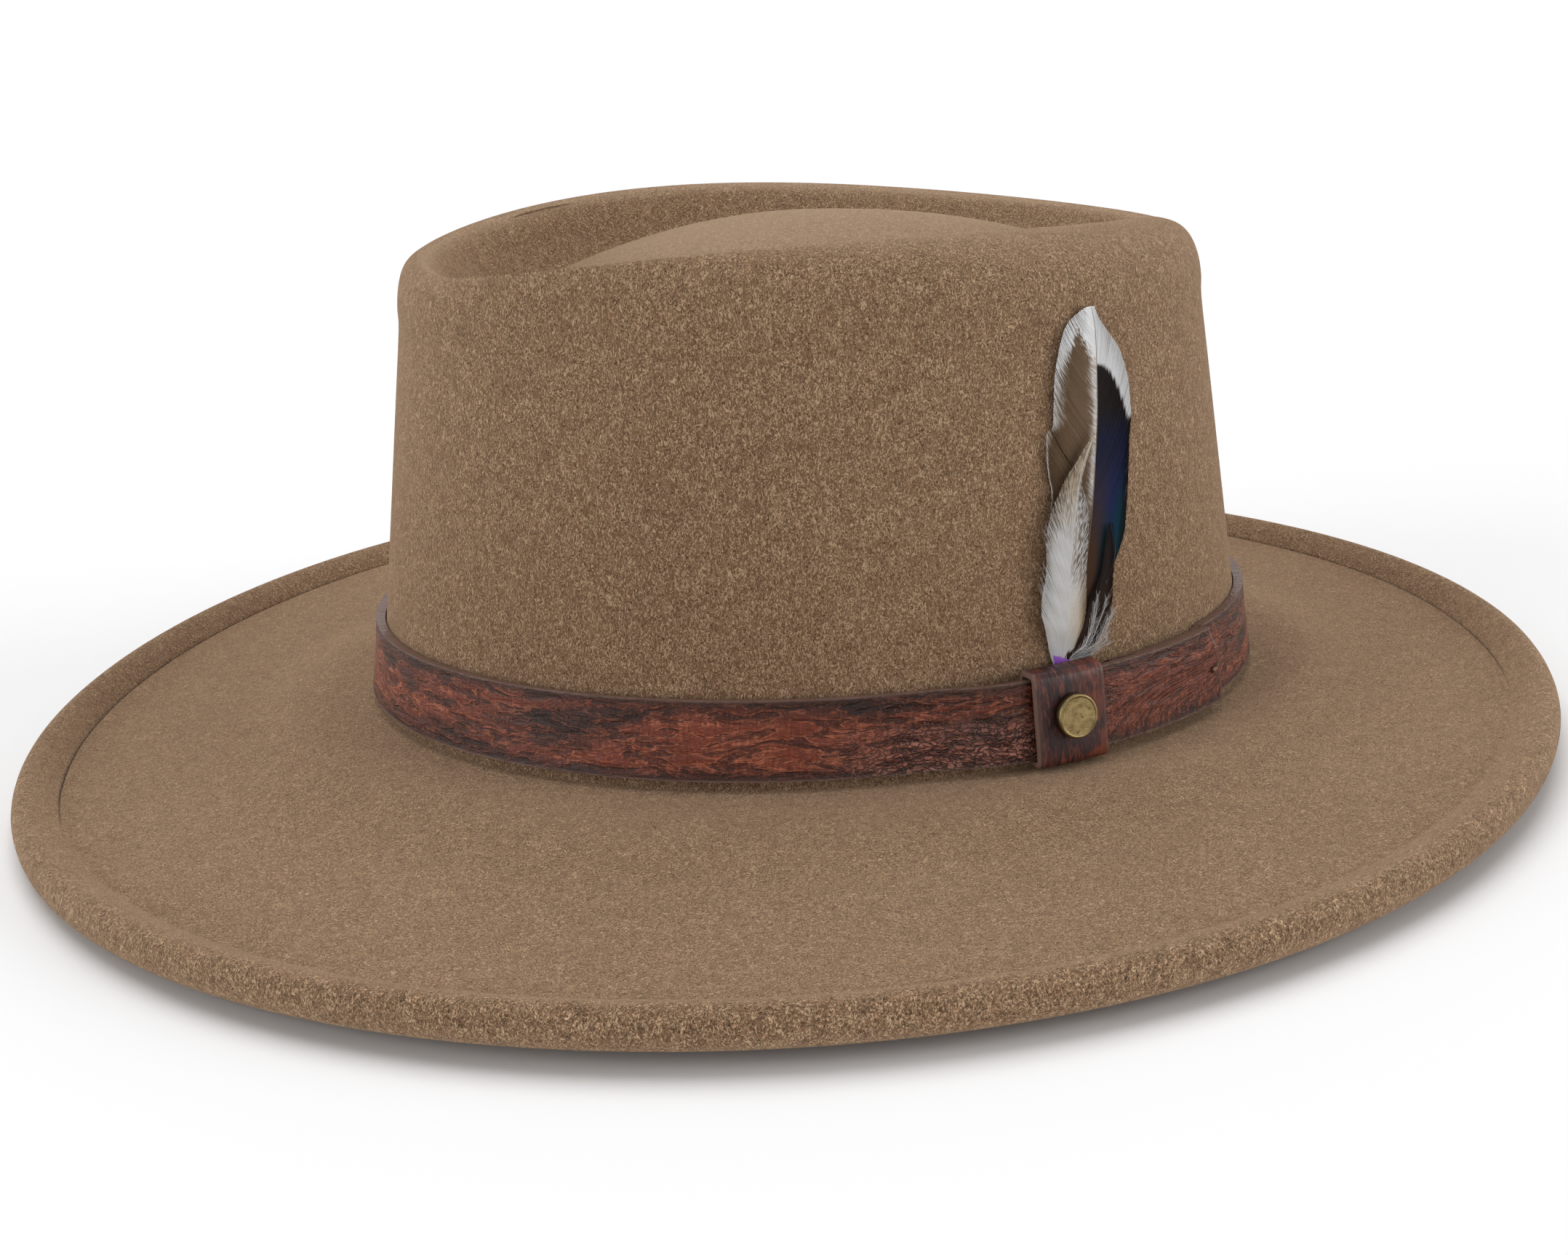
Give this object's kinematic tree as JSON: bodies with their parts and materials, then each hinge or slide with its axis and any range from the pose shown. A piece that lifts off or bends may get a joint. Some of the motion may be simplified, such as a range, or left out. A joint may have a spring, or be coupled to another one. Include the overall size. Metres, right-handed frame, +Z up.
{
  "type": "fedora hat",
  "caption": "Wide-brim felt fedora with a teardrop crown, leather band, keeper loop with a plain brass stud, and a bunch of feathers.",
  "frame": {"origin": "middle of the brim, on the surface that the hat stands on", "axes": "+Z up, -X the hat's front, -Y the wearer's left side, where the trim is"},
  "size_m": [0.3602, 0.356, 0.1205],
  "materials": {
    "felt": "light brown wool felt, soft short nap",
    "thread": "dark brown sewing thread",
    "band_leather": "oxblood pull-up leather, creased, half gloss",
    "keeper_leather": "dark brown leather, half gloss",
    "brass": "antique brass, worn",
    "sweat_leather": "brown sweatband leather, satin",
    "satin": "dark brown satin",
    "label": "blank coated paper label",
    "feather_light": "white and speckled feather",
    "feather_dark": "dark brown feather, slight gloss",
    "tape": "purple floral tape",
    "reed": "pale plastic reed"
  },
  "bodies": {
    "hat": {"felt_body": "felt", "welt_stitching": "thread", "hat_band": "band_leather", "band_tack": "thread", "sweatband": "sweat_leather", "sweatband_reed": "reed", "sweatband_stitching": "thread", "sweatband_bow": "satin", "lining_side": "satin", "lining_tip": "satin", "lining_piping": "satin", "size_label": "label"},
    "keeper": {"keeper_loop": "keeper_leather", "keeper_staple": "brass", "stud_cap": "brass", "stud_post": "brass", "stud_washer": "brass"},
    "feathers": {"feather_speculum": "feather_light", "feather_flank": "feather_light", "feather_dark": "feather_dark", "feather_down": "feather_light", "feather_binding": "tape"}
  },
  "joints": [
    {"name": "keeper_slide", "type": "hinge", "parent": "hat", "child": "keeper", "pos_m": [0.00936, 0.03048, 0.01366], "axis": [0.0211, 0.0063, 0.9998], "range_deg": [-1.9, 1.9]},
    {"name": "feathers_pull", "type": "slide", "parent": "hat", "child": "feathers", "axis": [-0.0311, 0.1152, 0.9929], "range_m": [0, 0.03]}
  ]
}
